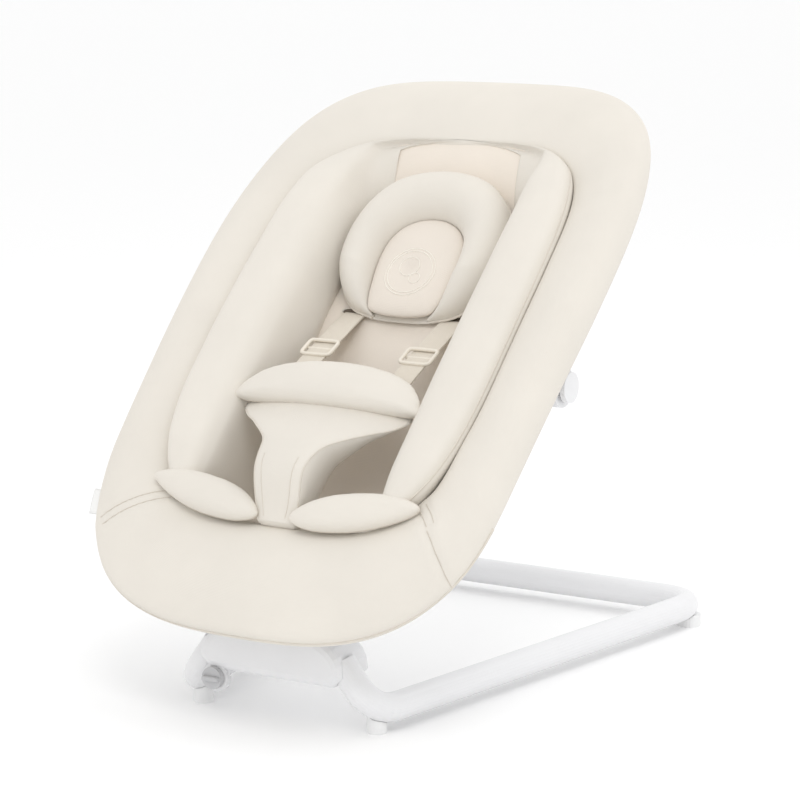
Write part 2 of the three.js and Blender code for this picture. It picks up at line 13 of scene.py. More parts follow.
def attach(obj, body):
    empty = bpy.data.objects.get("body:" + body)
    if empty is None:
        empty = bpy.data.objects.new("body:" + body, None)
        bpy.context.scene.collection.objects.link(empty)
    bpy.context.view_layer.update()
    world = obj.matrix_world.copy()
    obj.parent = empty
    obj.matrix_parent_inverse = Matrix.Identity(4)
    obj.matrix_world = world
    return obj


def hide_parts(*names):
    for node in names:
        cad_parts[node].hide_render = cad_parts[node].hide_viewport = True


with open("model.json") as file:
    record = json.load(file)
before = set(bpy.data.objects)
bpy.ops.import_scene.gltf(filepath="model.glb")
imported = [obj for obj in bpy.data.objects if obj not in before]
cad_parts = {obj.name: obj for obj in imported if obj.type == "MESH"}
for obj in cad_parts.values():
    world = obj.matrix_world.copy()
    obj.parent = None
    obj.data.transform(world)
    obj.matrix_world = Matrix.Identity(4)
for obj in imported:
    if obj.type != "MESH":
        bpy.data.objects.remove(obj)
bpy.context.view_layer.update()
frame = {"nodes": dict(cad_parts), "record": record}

MM = 0.001
FINE = 2

# ---------------------------------------------------------------- driving dimensions, in millimetres
# The seat is given as u across, v from the foot end to the head end, and w off the rim's plane.
LENGTH = 696
HALF_WIDTH = 220
WIDEST_AT = 191
FOOT_SQUARENESS = 2.9
HEAD_SQUARENESS = 4.0
HEAD_WIDENING = 0.174
FOOT_TILT = math.radians(49.9)
HEAD_TILT = math.radians(37.5)
ARC_RADIUS = LENGTH / (FOOT_TILT - HEAD_TILT)
FOOT_Y = -312.4
FOOT_Z = 100.2

PIPING_RADIUS = 0.0012
HEM_RADIUS = 0.0019
SEAM_THREAD_RADIUS = 0.00045

PAD_LEVEL = 48
PAD_DIP = 34
PAD_DIP_AT = 215
PAD_DIP_SPREAD = 110


# ---------------------------------------------------------------- the seat's surface
def seat_point(u, v, w):
    """Seat coordinates in millimetres to points in the row frame, in metres."""
    u, v, w = np.broadcast_arrays(*(np.asarray(x, float) for x in (u, v, w)))
    tilt = FOOT_TILT - v / ARC_RADIUS
    y = FOOT_Y + ARC_RADIUS * (math.sin(FOOT_TILT) - np.sin(tilt)) - np.sin(tilt) * w
    z = FOOT_Z + ARC_RADIUS * (np.cos(tilt) - math.cos(FOOT_TILT)) + np.cos(tilt) * w
    return np.stack([u, y, z], axis=-1) * MM


def rim_half_width(v):
    """Half width of the rim's outline: a flattened oval, a little wider towards the head."""
    v = np.asarray(v, float)
    to_foot = v < WIDEST_AT
    reach = np.where(to_foot, WIDEST_AT, LENGTH - WIDEST_AT)
    power = np.where(to_foot, FOOT_SQUARENESS, HEAD_SQUARENESS)
    share = np.clip(np.abs(v - WIDEST_AT) / reach, 0, 1)
    widening = 1 + HEAD_WIDENING * (v - WIDEST_AT) / LENGTH
    return HALF_WIDTH * (1 - share**power) ** (1 / power) * widening


def rim_loop(count):
    """The rim as evenly spaced (u, v) points and inward normals, starting in the middle of the foot end."""
    angle = np.linspace(0, 2 * math.pi, 4001)[:-1]
    v = LENGTH / 2 * (1 - np.cos(angle))
    u = np.sign(np.sin(angle)) * rim_half_width(v)
    return even_loop(np.stack([u, v], 1), count)


def even_loop(points, count):
    """A closed outline re-cut to evenly spaced points, with the unit normals that point inwards."""
    closed = np.vstack([points, points[:1]])
    along = np.concatenate([[0], np.cumsum(np.linalg.norm(np.diff(closed, axis=0), axis=1))])
    at = np.linspace(0, along[-1], count, endpoint=False)
    even = np.stack([np.interp(at, along, closed[:, k]) for k in (0, 1)], 1)
    step = np.roll(even, -1, 0) - np.roll(even, 1, 0)
    step /= np.linalg.norm(step, axis=1)[:, None]
    area = 0.5 * np.sum(even[:, 0] * np.roll(even[:, 1], -1) - even[:, 1] * np.roll(even[:, 0], -1))
    inward = np.stack([-step[:, 1], step[:, 0]], 1) * np.sign(area)
    return even, inward


def smoothstep(low, high, x):
    t = np.clip((np.asarray(x, float) - low) / (high - low), 0, 1)
    return t * t * (3 - 2 * t)


def bump_at(x, centre, spread):
    return np.exp(-(((np.asarray(x, float) - centre) / spread) ** 2))


def pad_floor(v):
    """Level of the padded floor on the middle line."""
    return -(PAD_LEVEL + PAD_DIP * bump_at(v, PAD_DIP_AT, PAD_DIP_SPREAD))


# ---------------------------------------------------------------- mesh helpers
def add_object(name, vertices, faces, corner_uvs=None):
    """A smooth mesh object, with the cloth's flat coordinates where they are given."""
    mesh = bpy.data.meshes.new(name)
    mesh.from_pydata([tuple(p) for p in vertices], [], faces)
    if corner_uvs is not None:
        layer = mesh.uv_layers.new(name="flat")
        layer.data.foreach_set("uv", np.asarray(corner_uvs, np.float32).ravel())
    mesh.shade_smooth()
    obj = bpy.data.objects.new(name, mesh)
    bpy.context.scene.collection.objects.link(obj)
    return obj


def lengths_along(points, axis, closes):
    """Mean running length in metres along one axis of a grid, one step longer where the grid closes."""
    if closes:
        points = np.concatenate([points, points.take([0], axis)], axis)
    steps = np.linalg.norm(np.diff(points, axis=axis), axis=2).mean(1 - axis)
    return np.concatenate([[0], np.cumsum(steps)])


def add_grid(name, points, around_rows=False, around_columns=False, caps=False):
    """A surface through a grid of points. Its rows, its columns or both may close on themselves."""
    points = np.asarray(points, float)
    rows, columns = points.shape[:2]
    down = lengths_along(points, 0, around_rows)
    over = lengths_along(points, 1, around_columns)
    faces, uvs = [], []
    for r in range(rows if around_rows else rows - 1):
        for c in range(columns if around_columns else columns - 1):
            corners = ((r, c), (r, c + 1), (r + 1, c + 1), (r + 1, c))
            faces.append(tuple((a % rows) * columns + b % columns for a, b in corners))
            uvs += [(over[b], down[a]) for a, b in corners]
    if caps:
        for row in (range(columns - 1, -1, -1), range((rows - 1) * columns, rows * columns)):
            faces.append(tuple(row))
            uvs += [tuple(points.reshape(-1, 3)[i][[0, 2]]) for i in row]
    return add_object(name, points.reshape(-1, 3), faces, uvs)


def join(name, objects):
    """Joins several objects into one, which takes the name."""
    bpy.ops.object.select_all(action="DESELECT")
    for obj in objects:
        obj.select_set(True)
    bpy.context.view_layer.objects.active = objects[0]
    bpy.ops.object.join()
    objects[0].name = name
    return objects[0]


def outward(obj):
    """Turns every face of a closed mesh outwards."""
    made = bmesh.new()
    made.from_mesh(obj.data)
    bmesh.ops.recalc_face_normals(made, faces=made.faces)
    made.to_mesh(obj.data)
    made.free()
    return obj


def use_material(obj, material):
    obj.data.materials.clear()
    obj.data.materials.append(material)
    return obj


def spline(points, count):
    """A smooth curve through rows of numbers, spaced evenly along its length."""
    points = np.asarray(points, float)
    ends = np.vstack([2 * points[0] - points[1], points, 2 * points[-1] - points[-2]])
    samples = []
    for a, b, c, d in zip(ends, ends[1:], ends[2:], ends[3:]):
        for t in np.linspace(0, 1, 12, endpoint=False):
            bend = (2 * a - 5 * b + 4 * c - d) * t**2
            twist = (3 * b - a - 3 * c + d) * t**3
            samples.append(0.5 * (2 * b + (c - a) * t + bend + twist))
    samples.append(points[-1])
    samples = np.array(samples)
    along = np.concatenate([[0], np.cumsum(np.linalg.norm(np.diff(samples, axis=0), axis=1))])
    at = np.linspace(0, along[-1], count)
    return np.stack([np.interp(at, along, samples[:, k]) for k in range(samples.shape[1])], 1)


def cord_along(name, points, radius, sides=8, closed=False):
    """A thin round cord along points in metres, for piping and stitching."""
    curve = bpy.data.curves.new(name, "CURVE")
    curve.dimensions = "3D"
    curve.bevel_depth = radius
    curve.bevel_resolution = sides // 2 - 1
    curve.use_fill_caps = not closed
    path = curve.splines.new("POLY")
    path.points.add(len(points) - 1)
    for spot, place in zip(path.points, points):
        spot.co = (*place, 1)
    path.use_cyclic_u = closed
    made = bpy.data.objects.new(name, curve)
    bpy.context.scene.collection.objects.link(made)
    bpy.ops.object.select_all(action="DESELECT")
    made.select_set(True)
    bpy.context.view_layer.objects.active = made
    bpy.ops.object.convert(target="MESH")
    made = bpy.context.view_layer.objects.active
    made.data.shade_smooth()
    return made


# ---------------------------------------------------------------- materials
def node_material(name, color, roughness, metallic=0.0):
    """A material with its uniform values set on the shader, and that shader."""
    material = bpy.data.materials.new(name)
    material.use_nodes = True
    shader = material.node_tree.nodes["Principled BSDF"]
    shader.inputs["Base Color"].default_value = (*color, 1)
    shader.inputs["Roughness"].default_value = roughness
    shader.inputs["Metallic"].default_value = metallic
    return material, shader


def add_node(material, kind, **values):
    """A shader node with its inputs set by name, and its own settings by attribute name."""
    made = material.node_tree.nodes.new(kind)
    for key, value in values.items():
        if key in made.inputs:
            made.inputs[key].default_value = value
        else:
            setattr(made, key, value)
    return made


def link(material, source, output, target, target_input):
    material.node_tree.links.new(source.outputs[output], target.inputs[target_input])


def vary_color(material, shader, coordinates, output, color, scale, amount):
    """Mottles the base colour slightly, from a darker to a lighter tone of it."""
    noise = add_node(material, "ShaderNodeTexNoise", Scale=scale, Detail=4.0, Roughness=0.6)
    ramp = add_node(material, "ShaderNodeValToRGB")
    ramp.color_ramp.elements[0].position = 0.3
    ramp.color_ramp.elements[1].position = 0.7
    ramp.color_ramp.elements[0].color = (*[c * (1 - amount) for c in color], 1)
    ramp.color_ramp.elements[1].color = (*[min(1, c * (1 + amount * 0.5)) for c in color], 1)
    link(material, coordinates, output, noise, "Vector")
    link(material, noise, "Fac", ramp, "Fac")
    link(material, ramp, "Color", shader, "Base Color")
    return ramp


def vary_roughness(material, shader, coordinates, output, scale, low, high):
    """Lets the roughness wander slowly between two values."""
    noise = add_node(material, "ShaderNodeTexNoise", Scale=scale, Detail=3.0)
    span = add_node(material, "ShaderNodeMapRange")
    span.inputs["To Min"].default_value = low
    span.inputs["To Max"].default_value = high
    link(material, coordinates, output, noise, "Vector")
    link(material, noise, "Fac", span, "Value")
    link(material, span, "Result", shader, "Roughness")


def bump_from(material, height, output, strength, distance, before=None):
    bump = add_node(material, "ShaderNodeBump", Strength=strength, Distance=distance)
    link(material, height, output, bump, "Height")
    if before is not None:
        link(material, before, "Normal", bump, "Normal")
    return bump


def weave_height(material, coordinates, pitch, diagonal=False):
    """The height of a plain weave: two sets of threads that cross, on the cloth's own coordinates."""
    turn = add_node(material, "ShaderNodeMapping")
    turn.inputs["Rotation"].default_value = (0, 0, math.radians(45) if diagonal else 0)
    link(material, coordinates, "UV", turn, "Vector")
    threads = []
    for direction in ("X", "Y"):
        wave = add_node(material, "ShaderNodeTexWave", Scale=1 / pitch / 3.2, Distortion=0.4)
        wave.bands_direction = direction
        wave.inputs["Detail"].default_value = 1.0
        wave.inputs["Detail Scale"].default_value = 2.0
        link(material, turn, "Vector", wave, "Vector")
        threads.append(wave)
    both = add_node(material, "ShaderNodeMath", operation="ADD")
    link(material, threads[0], "Fac", both, 0)
    link(material, threads[1], "Fac", both, 1)
    return both


def fabric(name, color, pitch=0.0011, depth=0.00012, wrinkle=0.0016, sheen=0.25):
    """Fine matt cloth: woven threads, soft unevenness of the stuffing under it, and slight mottling."""
    material, shader = node_material(name, color, 0.86)
    coordinates = add_node(material, "ShaderNodeTexCoord")
    vary_color(material, shader, coordinates, "Object", color, 9.0, 0.035)
    vary_roughness(material, shader, coordinates, "Object", 60.0, 0.8, 0.93)
    soft = add_node(material, "ShaderNodeTexNoise", Scale=14.0, Detail=2.0, Roughness=0.45)
    link(material, coordinates, "Object", soft, "Vector")
    uneven = bump_from(material, soft, "Fac", 0.35, wrinkle)
    woven = bump_from(material, weave_height(material, coordinates, pitch), "Value", 0.5, depth, uneven)
    link(material, woven, "Normal", shader, "Normal")
    shader.inputs["Sheen Weight"].default_value = sheen
    shader.inputs["Sheen Roughness"].default_value = 0.5
    shader.inputs["Sheen Tint"].default_value = (1, 0.97, 0.92, 1)
    shader.inputs["Specular IOR Level"].default_value = 0.25
    return material


def moulded(name, color, roughness, grain=0.00004, coat=0.0):
    """Moulded plastic: fine grain and slight unevenness in the shine."""
    material, shader = node_material(name, color, roughness)
    coordinates = add_node(material, "ShaderNodeTexCoord")
    vary_color(material, shader, coordinates, "Object", color, 30.0, 0.02)
    vary_roughness(material, shader, coordinates, "Object", 120.0, roughness - 0.06, roughness + 0.06)
    pores = add_node(material, "ShaderNodeTexNoise", Scale=2600.0, Detail=2.0)
    link(material, coordinates, "Object", pores, "Vector")
    grained = bump_from(material, pores, "Fac", 0.4, grain)
    link(material, grained, "Normal", shader, "Normal")
    shader.inputs["Coat Weight"].default_value = coat
    shader.inputs["Coat Roughness"].default_value = 0.25
    return material


def powder_coat(name, color):
    """White powder coat on steel: a faint orange-peel skin under a thin gloss."""
    material, shader = node_material(name, color, 0.34)
    coordinates = add_node(material, "ShaderNodeTexCoord")
    vary_color(material, shader, coordinates, "Object", color, 12.0, 0.015)
    vary_roughness(material, shader, coordinates, "Object", 200.0, 0.28, 0.42)
    peel = add_node(material, "ShaderNodeTexNoise", Scale=900.0, Detail=2.0)
    link(material, coordinates, "Object", peel, "Vector")
    skinned = bump_from(material, peel, "Fac", 0.3, 0.00006)
    link(material, skinned, "Normal", shader, "Normal")
    shader.inputs["Coat Weight"].default_value = 0.3
    shader.inputs["Coat Roughness"].default_value = 0.2
    return material


def zinc(name):
    """Zinc-plated steel: slightly mottled, finely scratched."""
    material, shader = node_material(name, (0.62, 0.63, 0.64), 0.35, 1.0)
    coordinates = add_node(material, "ShaderNodeTexCoord")
    vary_color(material, shader, coordinates, "Object", (0.62, 0.63, 0.64), 80.0, 0.1)
    vary_roughness(material, shader, coordinates, "Object", 240.0, 0.28, 0.48)
    scratches = add_node(material, "ShaderNodeTexNoise", Scale=700.0, Detail=3.0)
    link(material, coordinates, "Object", scratches, "Vector")
    link(material, bump_from(material, scratches, "Fac", 0.2, 0.00005), "Normal", shader, "Normal")
    return material


CREAM = (0.74, 0.70, 0.635)
THREAD = (0.90, 0.86, 0.78)
cream_cloth = fabric("cream_cloth", CREAM)
# Lighter and yellower than the cover's cloth: painted light on the inlay down in the well, and a painted
# warm tint of its shade.
lining_painted_light = fabric("lining_painted_light", (0.79, 0.722, 0.642), pitch=0.0016, wrinkle=0.001, sheen=0.2)
panel_cloth = fabric("panel_cloth", (0.76, 0.698, 0.625), pitch=0.0016, wrinkle=0.001, sheen=0.2)
strap_cloth = fabric("strap_webbing", (0.71, 0.65, 0.56), pitch=0.0021, depth=0.0004, wrinkle=0.0004)
piping_cloth = fabric("piping_cloth", (0.72, 0.67, 0.595), pitch=0.0009, wrinkle=0.0002)
# Darker cloth for the seam threads: painted shade of the creases along the seams.
painted_seam_shade = fabric("painted_seam_shade", (0.63, 0.575, 0.495), pitch=0.0009, wrinkle=0.0002)
thread_cloth = fabric("thread", THREAD, pitch=0.0006, wrinkle=0.0001, sheen=0.4)
# Near-black cloth for the mouths of the strap slits: painted shade inside the opening.
slot_painted_shade = fabric("slot_shade_paint", (0.16, 0.13, 0.10), pitch=0.0012, wrinkle=0.0002, sheen=0.05)
tag_cloth = fabric("tag_cloth", (0.86, 0.86, 0.85), pitch=0.0007, wrinkle=0.0002)
white_paint = powder_coat("white_paint", (0.80, 0.80, 0.81))
white_plastic = moulded("white_plastic", (0.80, 0.80, 0.81), 0.42, coat=0.1)
ivory_plastic = moulded("ivory_plastic", (0.80, 0.745, 0.65), 0.36, coat=0.2)
grey_plastic = moulded("grey_plastic", (0.52, 0.52, 0.53), 0.5)
pale_rubber = moulded("pale_rubber", (0.84, 0.84, 0.84), 0.78, grain=0.0001)
steel = zinc("zinc_steel")

SLOT_LOOKS = {
    "paint": white_paint,
    "white_plastic": white_plastic,
    "grey_plastic": grey_plastic,
    "ivory_plastic": ivory_plastic,
    "rubber": pale_rubber,
    "steel": steel,
    "cream_fabric": cream_cloth,
    "webbing": strap_cloth,
    "tag": tag_cloth,
}


def dress_cad_nodes():
    """Gives every CAD node the look of its material slot."""
    slots = {row["node"]: row["material_slot"] for row in frame["record"]["subparts"]}
    for name, obj in frame["nodes"].items():
        use_material(obj, SLOT_LOOKS[slots[name]])


# ---------------------------------------------------------------- seat cover
CREASE = {"half": 167, "middle": 350, "foot_v": 112, "head_v": 602, "foot_power": 3.5, "head_power": 4.2}


def crease_half_width(v):
    """Half width of the valley between the rim's padded band and the inlay."""
    v = np.asarray(v, float)
    to_foot = v < CREASE["middle"]
    reach = np.where(to_foot, CREASE["middle"] - CREASE["foot_v"], CREASE["head_v"] - CREASE["middle"])
    power = np.where(to_foot, CREASE["foot_power"], CREASE["head_power"])
    share = np.clip(np.abs(v - CREASE["middle"]) / reach, 0, 1)
    return CREASE["half"] * (1 - share**power) ** (1 / power)


def crease_loop(count):
    angle = np.linspace(0, 2 * math.pi, 4001)[:-1]
    foot_v, head_v = CREASE["foot_v"], CREASE["head_v"]
    v = (foot_v + head_v) / 2 - (head_v - foot_v) / 2 * np.cos(angle)
    u = np.sign(np.sin(angle)) * crease_half_width(v)
    return even_loop(np.stack([u, v], 1), count)[0]


# Each point: inset from the rim, share of the way to the crease, level at the sides, head and foot.
# The points from DIVE_FROM to DIVE_TO go down into the crease and back under the cover.
COVER_SECTION = [
    (33, 0, -16, -16, -15),
    (31, 0, -20, -20, -18.8),
    (22, 0, -21, -21, -19),
    (12, 0, -19, -19, -17),
    (4, 0, -14, -14, -12),
    (0.8, 0, -8, -8, -7),
    (0, 0.0, -2, -2, -3),
    (0, 0.025, 5, 4.5, 1),
    (0, 0.08, 11, 9.5, 4),
    (0, 0.18, 16.5, 14, 6.5),
    (0, 0.32, 19.5, 16.5, 8.5),
    (0, 0.48, 20, 17, 9.5),
    (0, 0.64, 18.5, 15, 9.5),
    (0, 0.8, 16, 12, 8),
    (0, 0.92, 13.5, 8.5, 5),
    (0, 1.0, 10, 5, 0.5),
    (0, 1.035, 2, -1, -5),
    (0, 1.05, -4, -5, -6.5),
    (0, 1.03, -6, -6.5, -7),
    (0, 0.98, -6.5, -7, -7),
    (0, 0.92, -4, -4, -4),
    (0, 0.8, -2, -2, -2),
    (36, 0, -2, -2, -2),
    (34, 0, -9, -9, -9),
]
DIVE_FROM = 16
DIVE_TO = 22
COVER_HEAD = (470, 640)
COVER_FOOT = (70, 175)
COVER_SEAMS = [
    [(-119, 134), (-146, 122), (-170, 108), (-190, 92)],
    [(-124, 141), (-152, 129), (-176, 115), (-196, 99)],
    [(141, 153), (152, 142), (160, 133)],
    [(148, 158), (158, 148), (166, 138)],
    [(162, 129), (179, 108), (199, 84)],
]
FOOT_DRAWN_IN = 4
FOOT_DRAW_ENDS = 110
FOOT_PIPING_TO = 150
FOOT_PIPING_LEVEL = -7
HEM_INSET = 31.5
HEM_LEVEL = -21.5
SEAM_DEPTH = 1.5
SEAM_SPREAD = 2.6


def foot_draw(v):
    """How far the cover's outer edge is drawn in at the very end of the foot."""
    return FOOT_DRAWN_IN * (1 - smoothstep(0, FOOT_DRAW_ENDS, v))


def cover_grid(count):
    """The cover's section at evenly spaced places around the rim, one row for each point of it."""
    rim, inward = rim_loop(count)
    crease = crease_loop(count)
    to_head = smoothstep(*COVER_HEAD, rim[:, 1])
    to_foot = 1 - smoothstep(*COVER_FOOT, rim[:, 1])
    drawn_in = foot_draw(rim[:, 1])[:, None]
    rows = []
    for inset, share, side, head, foot in COVER_SECTION:
        place = rim + inward * np.maximum(inset, drawn_in) + (crease - rim) * share
        level = side + (head - side) * to_head + (foot - side) * to_foot
        rows.append(np.stack([place[:, 0], place[:, 1], level], 1))
    return np.array(rows)


def smooth_rows(rows, steps):
    """A closed row of control values made finer by a smooth curve, in every column."""
    rows = np.asarray(rows)
    before, after, later = np.roll(rows, 1, 0), np.roll(rows, -1, 0), np.roll(rows, -2, 0)
    finer = []
    for k in range(steps):
        t = k / steps
        finer.append(
            0.5
            * (
                2 * rows
                + (after - before) * t
                + (2 * before - 5 * rows + 4 * after - later) * t**2
                + (3 * rows - before - 3 * after + later) * t**3
            )
        )
    return np.stack(finer, 1).reshape(-1, *rows.shape[1:])


def distance_to_line(u, v, line):
    """Distance from points to a row of short straight runs, in the seat's plane."""
    best = np.full(np.shape(u), 1e9)
    for (au, av), (bu, bv) in zip(line, line[1:]):
        du, dv = bu - au, bv - av
        t = np.clip(((u - au) * du + (v - av) * dv) / (du * du + dv * dv), 0, 1)
        best = np.minimum(best, np.hypot(u - au - t * du, v - av - t * dv))
    return best


def press_seams(points, seams):
    """Sinks the upper surface along each seam, and lets it swell a little on both sides."""
    above = points[..., 2] > -8
    for line in seams:
        gap = distance_to_line(points[..., 0], points[..., 1], line)
        groove = -SEAM_DEPTH * bump_at(gap, 0, SEAM_SPREAD) + 0.8 * bump_at(gap, 3.2 * SEAM_SPREAD, 5)
        points[..., 2] += np.where(above, groove, 0)
    return points


def soft_unevenness(points, height, scale, seed):
    """Slow, slight swells of a stuffed surface, from a few summed waves."""
    waves = np.random.default_rng(seed)
    swell = np.zeros(points.shape[:-1])
    for _ in range(9):
        turn = waves.uniform(0, 2 * math.pi)
        length = scale * waves.uniform(0.6, 1.6)
        phase = waves.uniform(0, 2 * math.pi)
        along = points[..., 0] * math.cos(turn) + points[..., 1] * math.sin(turn)
        swell += np.sin(along * 2 * math.pi / length + phase) / 3
    points[..., 2] += swell * height
    return points


def raise_off_shell(points, clearance=1.0):
    """Lifts the points of a soft piece that would otherwise sink into the moulded shell under it."""
    shell = frame["nodes"]["seat_shell"]
    tree = BVHTree.FromObject(shell, bpy.context.evaluated_depsgraph_get())
    flat = points.reshape(-1, 3)
    start = 80
    high = seat_point(flat[:, 0], flat[:, 1], start)
    down = seat_point(flat[:, 0], flat[:, 1], start - 1) - high
    down /= np.linalg.norm(down, axis=1)[:, None]
    for k in range(len(flat)):
        reach = tree.ray_cast(Vector(high[k]), Vector(down[k]))[3]
        if reach is not None:
            flat[k, 2] = max(flat[k, 2], start - reach / MM + clearance)
    return flat.reshape(points.shape)


def make_cover():
    """The puffy cover of the rim and the foot panel, in one skin that wraps around the shell's flange."""
    steps = 1 + 2 * FINE
    points = smooth_rows(cover_grid(260 * FINE), steps)
    points = press_seams(soft_unevenness(points, 0.35, 150, 3), COVER_SEAMS)
    dive = slice(DIVE_FROM * steps, DIVE_TO * steps)
    points[dive] = raise_off_shell(points[dive])
    shape = seat_point(points[..., 0], points[..., 1], points[..., 2])
    cover = add_grid("seat_cover", shape, around_rows=True, around_columns=True)
    finish_soft(outward(cover), cream_cloth, 0.75, "rim_cover", "foot_panel")
    trim_cover(cover)


def trim_cover(cover):
    """The cover's pressed seams, the hem behind the rim and the piping around the foot end."""
    seams = [on_surface(cover, spline(line, 60)) for line in COVER_SEAMS]
    threads = [cord_along("seam", line, SEAM_THREAD_RADIUS, 6) for line in seams]
    # The seam threads are darker than the cover: painted shade of the seam creases.
    finish_trim(join("cover_seams", threads), painted_seam_shade)
    rim, inward = rim_loop(500)
    hem = rim + inward * HEM_INSET
    edge = cord_along("cover_hem", seat_point(*hem.T, HEM_LEVEL), HEM_RADIUS, closed=True)
    finish_trim(edge, piping_cloth)
    low = rim[:, 1] < FOOT_PIPING_TO
    foot_edge = rim + inward * foot_draw(rim[:, 1])[:, None]
    foot_end = np.roll(foot_edge, low.sum() // 2, 0)[: low.sum()]
    piping = cord_along("foot_piping", seat_point(*foot_end.T, FOOT_PIPING_LEVEL), PIPING_RADIUS)
    finish_trim(piping, piping_cloth)


# ---------------------------------------------------------------- finishing helpers
def finish_soft(obj, material, fill, *nodes, body="seat"):
    """Gives a stuffed piece its cloth, hides the CAD nodes it stands in for, and attaches it to the body it
    moves with.
    """
    use_material(obj, material)
    if nodes:
        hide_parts(*nodes)
    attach(obj, body)
    return obj


def finish_trim(obj, material, body="seat"):
    """Gives a piece that isn't stuffed its cloth or plastic and its body."""
    use_material(obj, material)
    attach(obj, body)
    return obj


def on_surface(obj, spots, above=0.0, start=90):
    """The points where lines square to the seat meet obj's upper surface, lifted a little off it."""
    tree = BVHTree.FromObject(obj, bpy.context.evaluated_depsgraph_get())
    found = []
    for spot in spots:
        high = Vector(seat_point(spot[0], spot[1], start))
        down = (Vector(seat_point(spot[0], spot[1], 0)) - high).normalized()
        hit = tree.ray_cast(high, down)[0]
        if hit is not None:
            found.append(hit - down * above * MM)
    return found


# ---------------------------------------------------------------- inlay
def pad_level(v):
    """The inlay's floor: deepest under the hips, rising to the crease at the head and the foot."""
    v = np.asarray(v, float)
    to_head = smoothstep(505, 606, v)
    to_foot = 1 - smoothstep(112, 170, v)
    floor = pad_floor(v)
    return floor * (1 - to_head) + 3 * to_head + to_foot * (-8 - floor)


def make_inlay_pad():
    """One quilted floor pad with a soft crown, its edge tucked under the bolsters."""
    across = 25 * FINE
    share = np.concatenate([np.linspace(-1, 1, across), np.linspace(1, -1, 11)[1:-1]])
    top = np.arange(len(share)) < across
    rows = []
    for v in np.linspace(114, 608, 80 * FINE):
        half = min(116.0, float(crease_half_width(max(v - 10, 122))) + 6)
        flat = float(smoothstep(540, 590, v))
        crown = 4 * (1 - flat) * (1 - share**2) - 3 * flat * share**4
        level = float(pad_level(v)) + np.where(top, crown, -7)
        rows.append(np.stack([share * half, np.full(len(share), v), level], 1))
    points = soft_unevenness(np.array(rows), 0.4, 90, 5)
    points = raise_off_shell(points)
    shape = seat_point(*np.moveaxis(points, -1, 0))
    pad = add_grid("inlay_pad_cushion", shape, around_columns=True, caps=True)
    # The pad's cloth is lightened and warmed: painted light and painted warm shade in the well.
    finish_soft(outward(pad), lining_painted_light, 0.5, "inlay_pad")


# Share of the width from the crease inwards, and share of the height there.
BOLSTER_TOP = [
    (0.0, 0.3), (0.02, 0.56), (0.08, 0.82), (0.2, 0.96),
    (0.4, 1.0), (0.58, 0.97), (0.74, 0.84), (0.87, 0.55),
]
BOLSTER_ENDS = (122, 604)
BOLSTER_INNER = 96
BOLSTER_HEIGHT = 27


def bolster_row(v, side):
    """One slice across a bolster: upright beside the pad, leaning out to a soft slope at the head."""
    outer = float(crease_half_width(v)) - 1
    taper = math.sqrt(max(0.0, float(1 - (1 - smoothstep(88, 205, v)) ** 2)))
    inner = min(outer - (outer - BOLSTER_INNER) * max(taper, 0.12), outer - 14)
    floor = float(pad_level(v)) + 1
    closing = math.sqrt(max(0.0, 1 - max(0.0, (v - 540) / 66) ** 2))
    lower_foot = 8 * float(1 - smoothstep(118, 200, v))
    lower_head = 12 * float(smoothstep(520, 592, v))
    height = floor + (BOLSTER_HEIGHT - lower_foot - lower_head - floor) * closing
    wide = outer - inner
    lean = float(smoothstep(480, 560, v))
    section = [(outer - share * wide, height * rise) for share, rise in BOLSTER_TOP]
    section += [
        (inner + 0.03 * wide - 4 * lean, height * 0.08 + (floor - height * 0.08) * 0.3 * lean),
        (inner - 3 - 12 * lean, (height * 0.1 + floor) * (0.5 + 0.3 * lean)),
        (inner - 5 - 20 * lean, floor + 6 - 5 * lean),
        (inner + 3 - 20 * lean, floor - 2 - 2 * lean),
        (outer - 0.45 * wide, (floor - 6) * 0.5),
        (outer - 0.1 * wide, -6),
    ]
    return [(side * u, v, w) for u, w in section]


def make_bolster(side, name):
    """A side bolster with a line of piping along the crease."""
    rows = np.array([bolster_row(v, side) for v in np.linspace(*BOLSTER_ENDS, 72 * FINE)])
    finer = np.swapaxes(smooth_rows(np.swapaxes(rows, 0, 1), 1 + 2 * FINE), 0, 1)
    finer = raise_off_shell(soft_unevenness(finer, 0.45, 110, 7 + side))
    shape = seat_point(*np.moveaxis(finer, -1, 0))
    bolster = add_grid(f"bolster_{name}", shape, around_columns=True, caps=True)
    finish_soft(outward(bolster), cream_cloth, 0.8, f"side_bolster_{name}")
    along = np.linspace(140, 566, 120)
    edge = seat_point((crease_half_width(along) - 3.2) * side, along, 15 - 9 * smoothstep(520, 592, along))
    finish_trim(cord_along(f"bolster_piping_{name}", edge, 0.0015), piping_cloth)


# ---------------------------------------------------------------- stuffed pads
PILLOW_STEPS = 9


def merge_points(obj):
    made = bmesh.new()
    made.from_mesh(obj.data)
    bmesh.ops.remove_doubles(made, verts=made.verts, dist=1e-5)
    made.to_mesh(obj.data)
    made.free()
    return obj


def pillow(name, outline, middle, thickness, bow=lambda u, v: 0.0):
    """A stuffed pad over a closed (u, v) outline, domed both ways from the seam at its edge."""
    outline = np.asarray(outline, float)
    centre = outline.mean(0)
    shares = np.sin(np.linspace(0, math.pi / 2, PILLOW_STEPS * FINE))
    rows = []
    for shares_here, reach in ((shares, thickness / 2), (shares[-2::-1], -thickness / 2)):
        for share in shares_here:
            u, v = (centre + (outline - centre) * share).T
            dome = reach * math.sqrt(max(0.0, 1 - share**2.6))
            rows.append(seat_point(u, v, middle + bow(u, v) + dome))
    made = add_grid(name, np.array(rows), around_columns=True)
    return outward(merge_points(made))


